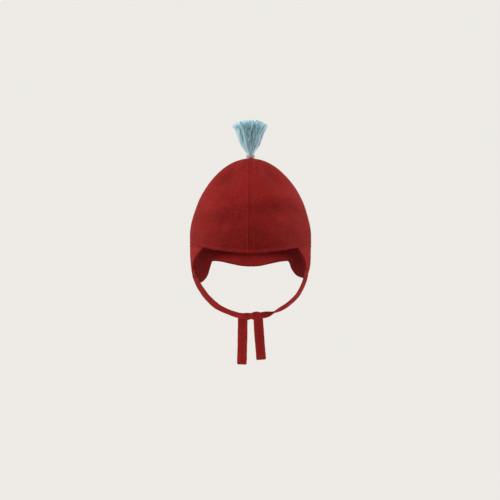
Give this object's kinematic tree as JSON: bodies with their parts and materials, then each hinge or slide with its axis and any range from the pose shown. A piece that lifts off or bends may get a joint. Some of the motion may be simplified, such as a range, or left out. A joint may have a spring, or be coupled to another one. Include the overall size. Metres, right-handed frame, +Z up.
{
  "type": "knitted baby hat with ear flaps, chin ties and a tassel",
  "caption": "Knitted baby hat: egg-shaped crown in halves, ear flaps joined by a nape strip, flat ties half-knotted under the chin, and a fan-shaped thread tassel on top.",
  "frame": {"origin": "inside top of the crown, where the hat sits on the head", "axes": "+Z up, -Y the way the face looks, +X the wearer's left"},
  "size_m": [0.146, 0.174, 0.2904],
  "materials": {
    "knit_red": "matte fine knit",
    "thread_blue": "soft cut thread",
    "binding_grey": "wound thread"
  },
  "bodies": {
    "root": {"crown_left": "knit_red", "crown_right": "knit_red", "ear_flap_left": "knit_red", "ear_flap_right": "knit_red", "tie_left": "knit_red", "tie_right": "knit_red", "tassel": "thread_blue", "tassel_binding": "binding_grey"}
  },
  "joints": []
}
